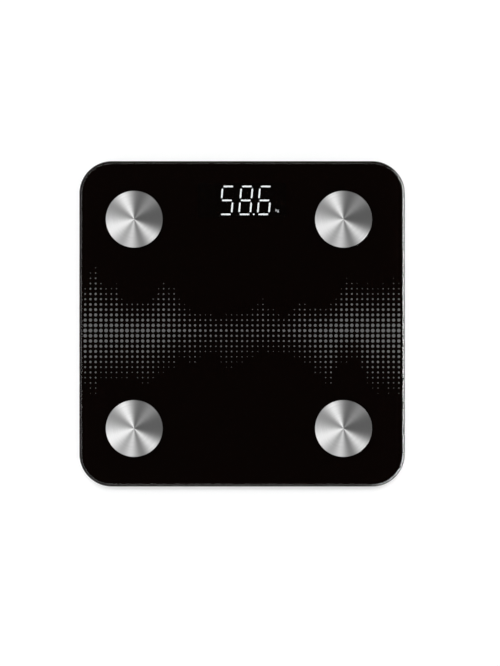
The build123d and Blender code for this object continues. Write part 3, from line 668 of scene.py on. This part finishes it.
def mesh_piece(name: str, points: np.ndarray, faces: list, smooth: np.ndarray, body: str) -> bpy.types.Object:
    """Makes a piece of the object from points and faces.

    Args:
        name: the piece's name.
        points: its points in metres, an array that ends in three.
        faces: the point numbers of each face.
        smooth: whether each face is shaded smooth.
        body: the body that it moves with.

    Returns:
        The new object, at the origin.
    """
    piece = put_faces(name, points, faces)
    piece.data.polygons.foreach_set("use_smooth", smooth)
    piece.data.update()
    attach(piece, body)
    return piece


def raised(outlines: np.ndarray, height: np.ndarray) -> np.ndarray:
    """Flat outlines, each raised to a height of its own.

    Args:
        outlines: their points, an array of outlines by points by two.
        height: one height for each outline.

    Returns:
        The points, an array of outlines by points by three.
    """
    level = np.broadcast_to(height[:, None, None], (*outlines.shape[:2], 1))
    return np.concatenate([outlines, level], axis=-1)


def node_box(node: str) -> tuple[np.ndarray, np.ndarray]:
    """A solid's lowest and highest corners."""
    low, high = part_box(node)
    return np.array(low), np.array(high)


def node_centre(node: str) -> Point:
    """The middle of a solid's box."""
    return tuple((sum(node_box(node)) / 2).tolist())


@dataclass
class GlassPlatform:
    """The glass with its pencil edge, and the print and film behind it."""

    corner_radius: float = 28.0 * MM
    edge_radius: float = 2.6 * MM
    underside_radius: float = 0.8 * MM
    edge_steps: int = 16
    corner_steps: int = 32
    side_steps: int = 32
    sunk_in_print: float = 0.02 * MM
    flat_rim: float = 0.2 * MM
    nodes: tuple[str, ...] = ("black_ink", "display_window")

    def edge_profile(self, low: float, high: float) -> tuple[np.ndarray, np.ndarray]:
        """The section of the edge, from the top face round to the underside.

        A wide quarter circle leads from the top face to the edge and a small one to the underside: at the
        angle a from the upright, a point lies radius * (1 - sin a) in from the edge and
        radius * (1 - cos a) from the face. A narrow flat rim at each end keeps the faces' shading flat.

        Args:
            low: height of the underside.
            high: height of the top face.

        Returns:
            How far each point lies in from the edge, and its height.
        """
        angle = np.linspace(0.0, math.pi / 2, self.edge_steps + 1)
        radius = np.array([[self.edge_radius], [self.underside_radius]])
        inset = np.concatenate([radius + self.flat_rim, radius * (1.0 - np.sin(angle))], axis=1)
        rise = np.concatenate([0.0 * radius, radius * (1.0 - np.cos(angle))], axis=1)
        height = np.concatenate([high - rise[0], low + rise[1, ::-1]])
        return np.concatenate([inset[0], inset[1, ::-1]]), height

    def outline(self, half: float, inset: np.ndarray) -> np.ndarray:
        """Rounded squares, one for each inset.

        A corner's points lie on a circle about the corner's own centre: the centre plus the corner radius
        less the inset, times the cosine and sine of an angle that goes a quarter turn in each corner.
        Points at even steps along a straight run lead from each corner to the next.

        Args:
            half: half the platform's width.
            inset: how far each outline lies in from the edge.

        Returns:
            The outlines' points, an array of insets by points by two.
        """
        quarter = np.arange(4)[:, None] * math.pi / 2
        angle = quarter + np.linspace(0.0, math.pi / 2, self.corner_steps + 1)[None, :]
        middle = quarter + math.pi / 4
        centre = (half - self.corner_radius) * np.sign(np.stack([np.cos(middle), np.sin(middle)], axis=-1))
        ray = np.stack([np.cos(angle), np.sin(angle)], axis=-1)
        corner = centre[None] + (self.corner_radius - inset)[:, None, None, None] * ray[None]
        start, end = corner[:, :, -1:], np.roll(corner, -1, axis=1)[:, :, :1]
        along = np.arange(1, self.side_steps)[:, None] / self.side_steps
        return np.concatenate([corner, start + along * (end - start)], axis=2).reshape(len(inset), -1, 2)

    def glass(self) -> bpy.types.Object:
        """The glass: the edge's section carried round the outline, closed by the two faces.

        Returns:
            The piece that stands for the glass solid.
        """
        low, high = node_box("glass_platform")
        inset, height = self.edge_profile(low[2] - self.sunk_in_print, high[2])
        points = raised(self.outline(high[0], inset), height)
        number = np.arange(points.size // 3).reshape(points.shape[:2])
        ahead = np.roll(number, -1, axis=1)
        sides = np.stack([number[:-1], number[1:], ahead[1:], ahead[:-1]], axis=-1).reshape(-1, 4)
        faces = sides.tolist() + [number[0].tolist(), number[-1][::-1].tolist()]
        smooth = np.arange(len(faces)) < len(sides)
        piece = mesh_piece("platform_glass", points, faces, smooth, "base")
        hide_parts("glass_platform")
        return coat(piece, FINISHES["clear_glass"])

    def build(self) -> list[bpy.types.Object]:
        """Makes the glass and dresses what lies behind it."""
        return [self.glass(), *coat_nodes(self.nodes)]


@dataclass(frozen=True)
class Swell:
    """A smooth rise in the dot band's reach: its place along X, height and half width, in millimetres."""

    place: float
    height: float
    width: float


@dataclass
class DotBand:
    """A band of halftone dots printed behind the glass, which swells towards both sides; in millimetres."""

    pitch: float = 4.5
    columns: int = 30
    rows: int = 12
    middle_row: float = -5.8
    least_radius: float = 0.22
    middle_radius: float = 1.06
    side_radius: float = 1.63
    side_start: float = 30.0
    side_full: float = 80.0
    sides: int = 12
    thickness: float = 0.03
    upper_reach: float = 18.0
    lower_reach: float = 24.0
    fade: float = 0.7
    stagger: float = 0.2
    stagger_step: float = 12.99
    stagger_gain: float = 437.58
    upper_phase: float = 0.4
    lower_phase: float = 2.1
    upper_swells: tuple[Swell, ...] = (
        Swell(-128, 16, 7), Swell(-118, 21, 30), Swell(-68, 26, 14), Swell(17, 10, 6), Swell(52, 15, 8),
        Swell(92, 20, 12), Swell(120, 28, 24))
    lower_swells: tuple[Swell, ...] = (
        Swell(-114, 31, 46), Swell(-43, 10, 5), Swell(-10, 8, 10), Swell(74, 22, 14), Swell(110, 23, 10),
        Swell(134, 31, 16))
    finish: Printed = Printed("dot_print", (0.145, 0.141, 0.143), 0.6, unevenness=0.1)

    def reach(self, x: np.ndarray, least: float, swells: tuple[Swell, ...], phase: float) -> np.ndarray:
        """How far the band reaches from its middle row at each column.

        The reach is a least value, plus for each swell its height times exp(-(distance / width) squared).
        Each column is then a little longer or shorter, by the digits of a sine of its place, so that
        neighbouring columns differ.

        Args:
            x: the columns' places.
            least: the reach away from every swell.
            swells: the rises that are added.
            phase: where the sine starts.

        Returns:
            The reach at each column.
        """
        steps = np.array([(swell.place, swell.height, swell.width) for swell in swells])
        bells = steps[:, 1:2] * np.exp(-((x[None] - steps[:, 0:1]) / steps[:, 2:3]) ** 2)
        uneven = np.modf(self.stagger_gain * np.sin(self.stagger_step * x / self.pitch + phase))[0]
        return (least + bells.sum(axis=0)) * (1.0 + self.stagger * uneven)

    def dots(self) -> tuple[np.ndarray, np.ndarray]:
        """Centres and radii of the dots.

        A dot shrinks from its column's middle radius with what is left of the reach, 1 - distance / reach,
        to the power of the fade, and the middle radius grows towards both sides of the platform.

        Returns:
            The centres, one row each, and the radii, in millimetres.
        """
        x = self.pitch * np.arange(-self.columns, self.columns + 1)
        y = self.pitch * np.arange(-self.rows, self.rows + 1)
        upper = self.reach(x, self.upper_reach, self.upper_swells, self.upper_phase)
        lower = self.reach(x, self.lower_reach, self.lower_swells, self.lower_phase)
        reach = np.where(y[None] >= 0, upper[:, None], lower[:, None])
        left = np.clip(1.0 - np.abs(y)[None] / reach, 0.0, 1.0)
        widest = np.interp(
            np.abs(x), [self.side_start, self.side_full], [self.middle_radius, self.side_radius])
        radius = widest[:, None] * left ** self.fade
        across, up = np.meshgrid(x, y + self.middle_row, indexing="ij")
        kept = radius > self.least_radius
        return np.stack([across[kept], up[kept]], axis=-1), radius[kept]

    def build(self) -> list[bpy.types.Object]:
        """Makes all the dots as one piece: each is a thin closed disc on the print.

        Returns:
            The one piece.
        """
        centre, radius = self.dots()
        angle = np.arange(self.sides) * 2 * math.pi / self.sides
        ray = np.stack([np.cos(angle), np.sin(angle)], axis=-1)
        flat = MM * (centre[:, None] + radius[:, None, None] * ray[None])
        level = node_box("black_ink")[1][2] + self.thickness * MM * np.array([-0.5, 0.5])
        shape = (len(radius), 2, self.sides)
        points = np.empty((*shape, 3))
        points[..., :2] = flat[:, None]
        points[..., 2] = level[None, :, None]
        number = np.arange(math.prod(shape)).reshape(shape)
        low, high = number[:, 0], number[:, 1]
        walls = np.stack([low, np.roll(low, -1, 1), np.roll(high, -1, 1), high], axis=-1).reshape(-1, 4)
        faces = high.tolist() + low[:, ::-1].tolist() + walls.tolist()
        piece = mesh_piece("dot_band", points, faces, np.zeros(len(faces), dtype=bool), "base")
        return [coat(piece, self.finish)]


@dataclass
class ContactDiscs:
    """The four steel discs that the feet touch, with their terminals, nuts and wires."""

    roughness: float = 0.45
    nodes: tuple[str, ...] = ("electrode_terminals", "electrode_nuts", "electrode_wires")

    def disc(self, corner: Corner) -> bpy.types.Object:
        """Dresses a corner's disc about its own centre.

        Args:
            corner: the corner that it lies in.

        Returns:
            The disc.
        """
        node = f"electrode_{corner.value}"
        name = f"turned_steel_painted_sheen_{corner.value}"
        # Each disc's colour is white steel times painted highlight wedges
        return coat_node(node, TurnedSteelPaintedSheen(name, WHITE, self.roughness, centre=node_centre(node)))

    def build(self) -> list[bpy.types.Object]:
        """Dresses the discs and the pieces below."""
        return [self.disc(corner) for corner in Corner] + coat_nodes(self.nodes)


@dataclass
class NumeralDisplay:
    """The lit numerals behind the window, and the sign of the unit beside them."""

    unit: str = "kg"
    unit_centre: tuple[float, float] = (30.4 * MM, 97.5 * MM)
    unit_width: float = 2.9 * MM
    unit_thickness: float = 0.06 * MM
    unit_finish: LitGuide = LitGuide("unit_sign", (0.90, 0.92, 0.95), 0.4, strength=5.3)
    nodes: tuple[str, ...] = (
        "display_housing", "lit_segments", "dark_segments", "segment_lamps", "display_board",
        "display_screws", "display_ribbon")

    def unit_sign(self) -> bpy.types.Object:
        """The unit's letters: text one unit thick, made a mesh, then scaled and moved onto the housing.

        Returns:
            The sign.
        """
        curve = bpy.data.curves.new("unit_sign", "FONT")
        curve.body = self.unit
        curve.extrude = 0.5
        text = bpy.data.objects.new("unit_text", curve)
        mesh = bpy.data.meshes.new_from_object(text)
        bpy.data.objects.remove(text)
        points = np.empty(len(mesh.vertices) * 3)
        mesh.vertices.foreach_get("co", points)
        points = points.reshape(-1, 3)
        low, high = points.min(axis=0), points.max(axis=0)
        scale = self.unit_width / (high[0] - low[0])
        points = (points - (low + high) / 2) * np.array([scale, scale, self.unit_thickness])
        face = node_box("display_housing")[1][2]
        points += np.array([*self.unit_centre, face + self.unit_thickness / 2])
        mesh.vertices.foreach_set("co", points.ravel())
        mesh.update()
        piece = put_in_scene("unit_sign", mesh)
        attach(piece, "base")
        return coat(piece, self.unit_finish)

    def build(self) -> list[bpy.types.Object]:
        """Makes the unit's sign and dresses the display."""
        return [self.unit_sign(), *coat_nodes(self.nodes)]


@dataclass
class TrayAndFeet:
    """The tray with its door, button and tapes, and the weighing feet below it."""

    nodes: tuple[str, ...] = (
        "base_tray", "battery_door", "unit_button", "switch_plunger", "perimeter_tape", "holder_tape_pads",
        "holder_screws", "strain_gauges")
    at_corner: tuple[str, ...] = (
        "load_cell", "load_cell_holder", "foot_carrier", "foot_pad", "load_cell_lead")

    def build(self) -> list[bpy.types.Object]:
        """Dresses the tray's pieces and each corner's."""
        corners = [f"{piece}_{corner.value}" for corner in Corner for piece in self.at_corner]
        return coat_nodes((*self.nodes, *corners))


@dataclass
class PowerAndBoard:
    """The three cells with their contacts, and the main board."""

    poles: tuple[Poles, ...] = (Poles.RIGHT, Poles.LEFT, Poles.RIGHT)
    sleeve: Colour = (0.03, 0.033, 0.04)
    sleeve_roughness: float = 0.3
    nodes: tuple[str, ...] = (
        "battery_terminals", "battery_bridges", "battery_wires", "main_board", "board_chips",
        "wireless_module", "lead_sockets", "electrode_socket", "board_screws", "push_switch")

    def cell(self, place: int, poles: Poles) -> bpy.types.Object:
        """Dresses a cell by the way it lies.

        Args:
            place: its number, counted from the front.
            poles: which way its button end points.

        Returns:
            The cell.
        """
        node = f"battery_{place}"
        low, high = node_box(node)
        half = float(high[0] - low[0]) / 2
        finish = Sleeved(
            f"cell_sleeve_{place}", self.sleeve, self.sleeve_roughness,
            centre=node_centre(node), half_length=half, poles=poles)
        return coat_node(node, finish)

    def build(self) -> list[bpy.types.Object]:
        """Dresses the cells, and the rest by its slot."""
        cells = [self.cell(place, poles) for place, poles in enumerate(self.poles, start=1)]
        return cells + coat_nodes(self.nodes)


@dataclass(frozen=True)
class PaleFloor(Finish):
    """A pale floor that looks white where it is lit and keeps the shadow."""

    lift: float = 0.27

    def dress(self, graph: Graph, shader: bpy.types.Node) -> None:
        """Lifts the floor towards white for what is looked at straight, in a mirror or through glass.

        Args:
            graph: the material's graph.
            shader: its shader.
        """
        path = graph.add("ShaderNodeLightPath").outputs
        seen = graph.maths("MAXIMUM", path["Is Camera Ray"], path["Is Glossy Ray"])
        seen = graph.maths("MAXIMUM", seen, path["Is Transmission Ray"])
        shader.inputs["Emission Color"].default_value = rgba(WHITE)
        graph.feed(shader.inputs["Emission Strength"], graph.maths("MULTIPLY", seen, self.lift))

    def surface(self, graph: Graph, shader: bpy.types.Node) -> bpy.types.NodeSocket:
        """The floor from above, and nothing from below."""
        below = graph.add("ShaderNodeNewGeometry").outputs["Backfacing"]
        return graph.either(below, shader, graph.add("ShaderNodeBsdfTransparent"))


@dataclass(frozen=True)
class GlowingCard(Finish):
    """A light card that fades out along Y towards its two ends; each end is a span of Y."""

    strength: float = 16.0
    front_end: Span = (-146.0 * MM, -130.0 * MM)
    rear_end: Span = (116.0 * MM, 137.0 * MM)

    def dress(self, graph: Graph, shader: bpy.types.Node) -> None:
        """Makes the card glow.

        Args:
            graph: the material's graph.
            shader: its shader.
        """
        _, y, _ = graph.split(graph.place())
        front = graph.spread(y, self.front_end, 0.0, self.strength)
        shader.inputs["Emission Color"].default_value = rgba(WHITE)
        graph.feed(shader.inputs["Emission Strength"], graph.spread(y, self.rear_end, front, 0.0))


@dataclass
class Studio:
    """Floor, light and camera.

    Angles are in degrees, and so is the span of the hood's elevation. The room's spans are parts of a unit
    direction: X to the right, Y towards the display's side and Z upwards.
    """

    floor_half: float = 60.0
    floor_finish: PaleFloor = PaleFloor("pale_floor", (0.80, 0.80, 0.80), 0.9, specular=0.0)
    lamp_strength: float = 2.15
    lamp_angle: float = 20.0
    key_tilt: float = -13.0
    under_tilt: float = 155.0
    fill_light: float = 0.33
    ceiling: float = 0.01
    ceiling_angle: float = 9.0
    ceiling_edge: float = 3.0
    overhead_left: float = 1.61
    overhead_right: float = 1.14
    overhead_span: Span = (-0.3, 0.3)
    ring_span: Span = (0.64, 0.90)
    wall_light: float = 0.36
    far_share: float = 0.4
    far_span: Span = (0.2, 0.6)
    hood_radius: float = 2.5 * MM
    hood_span: Span = (4.0, 100.0)
    hood_steps: int = 13
    hood_finish: GlowingCard = GlowingCard("hood", (0.0, 0.0, 0.0), specular=0.0)
    lens: float = 85.0
    sensor: float = 36.0
    sight: float = 500.0
    aim: Point = (6.85 * MM, -7.9 * MM, 24.8 * MM)
    frame_height: float = 571.85 * MM

    def floor(self) -> bpy.types.Object:
        """A flat square floor under the feet, which lets the lower lamp's light through.

        Returns:
            The floor.
        """
        corner = self.floor_half * np.array([[-1, -1, 0], [1, -1, 0], [1, 1, 0], [-1, 1, 0]], dtype=float)
        floor = put_faces("pale_floor", corner, [[0, 1, 2, 3]])
        floor.visible_shadow = False
        return coat(floor, self.floor_finish)

    def lamp(self, name: str, tilt: float) -> None:
        """A wide soft lamp, which the glass doesn't mirror.

        Args:
            name: the lamp's name.
            tilt: how far it is turned about X from shining straight down.
        """
        lamp = bpy.data.lights.new(name, "SUN")
        lamp.energy = self.lamp_strength
        lamp.angle = math.radians(self.lamp_angle)
        piece = bpy.data.objects.new(name, lamp)
        piece.rotation_euler = (math.radians(tilt), 0.0, 0.0)
        piece.visible_glossy = False
        piece.visible_transmission = False
        bpy.context.scene.collection.objects.link(piece)

    def hood(self) -> bpy.types.Object:
        """A curved light card close about the right edge, which only mirrors show, so that the edge shines.

        It goes along the platform's right side and round the corner at each end: at the elevation e, a
        point lies radius * cos e out from the edge and radius * sin e above the top face.

        Returns:
            The card.
        """
        platform = GlassPlatform()
        high = node_box("glass_platform")[1]
        elevation = np.radians(np.linspace(*self.hood_span, self.hood_steps))
        ring = platform.outline(high[0], -self.hood_radius * np.cos(elevation))
        quarter = ring.shape[1] // 4
        right_side = np.roll(ring, quarter, axis=1)[:, :quarter + platform.corner_steps + 1]
        points = raised(right_side, high[2] + self.hood_radius * np.sin(elevation))
        number = np.arange(points.size // 3).reshape(points.shape[:2])
        faces = np.stack([number[:-1, :-1], number[:-1, 1:], number[1:, 1:], number[1:, :-1]], axis=-1)
        hood = put_faces("hood", points, faces.reshape(-1, 4).tolist())
        hood.visible_camera = False
        hood.visible_diffuse = False
        hood.visible_transmission = False
        hood.visible_shadow = False
        return coat(hood, self.hood_finish)

    def room(self, graph: Graph) -> bpy.types.NodeSocket:
        """The studio that gloss mirrors.

        It has a small dark opening overhead where the camera stands, a bright ring about it and dim walls,
        all dimmer behind the display.

        Args:
            graph: the world's graph.

        Returns:
            The light that comes from each direction.
        """
        x, y, z = graph.split(graph.add("ShaderNodeTexCoord").outputs["Generated"])
        overhead = graph.spread(x, self.overhead_span, self.overhead_left, self.overhead_right)
        ring = graph.spread(z, self.ring_span, self.wall_light, overhead)
        ring = graph.maths("MULTIPLY", ring, graph.spread(y, self.far_span, 1.0, self.far_share))
        rim = (self.ceiling_angle + self.ceiling_edge, self.ceiling_angle)
        opening = graph.spread(z, tuple(np.cos(np.radians(rim)).tolist()), 1.0, self.ceiling)
        return graph.maths("MULTIPLY", ring, opening)

    def world(self) -> None:
        """White to the camera, a plain fill to matt surfaces, and the room for gloss to mirror."""
        world = bpy.data.worlds.new("studio")
        bpy.context.scene.world = world
        world.use_nodes = True
        world.node_tree.nodes.clear()
        graph = Graph(world.node_tree)
        path = graph.add("ShaderNodeLightPath").outputs
        mirrored = graph.maths("MAXIMUM", path["Is Glossy Ray"], path["Is Transmission Ray"])
        seen = graph.spread(mirrored, (0.0, 1.0), self.fill_light, self.room(graph))
        strength = graph.spread(path["Is Camera Ray"], (0.0, 1.0), seen, 1.0)
        light = graph.add("ShaderNodeBackground", {"Color": rgba(WHITE), "Strength": strength})
        graph.add("ShaderNodeOutputWorld", {"Surface": light.outputs[0]})

    def camera(self) -> None:
        """Looks straight down at the platform, as far off as the lens needs for the frame's height."""
        data = bpy.data.cameras.new("camera")
        data.lens = self.lens
        data.sensor_width = self.sensor
        data.clip_end = self.sight
        camera = bpy.data.objects.new("camera", data)
        x, y, z = self.aim
        camera.location = (x, y, z + self.frame_height * self.lens / self.sensor)
        bpy.context.scene.collection.objects.link(camera)
        bpy.context.scene.camera = camera

    def build(self) -> list[bpy.types.Object]:
        """Sets up the studio.

        Returns:
            The floor and the card.
        """
        bpy.context.scene.view_settings.view_transform = "Standard"
        self.lamp("key", self.key_tilt)
        self.lamp("underside", self.under_tilt)
        self.world()
        self.camera()
        return [self.floor(), self.hood()]


def main() -> None:
    """Builds the sub-assemblies in order and reports each piece."""
    logging.basicConfig(level=logging.INFO, format="%(name)s: %(message)s")
    groups = (
        GlassPlatform(), DotBand(), ContactDiscs(), NumeralDisplay(), TrayAndFeet(), PowerAndBoard(),
        Studio())
    for group in groups:
        for piece in group.build():
            log.info("%s: %s in %s", type(group).__name__, piece.name, piece.active_material.name)


if __name__ == "__main__":
    main()
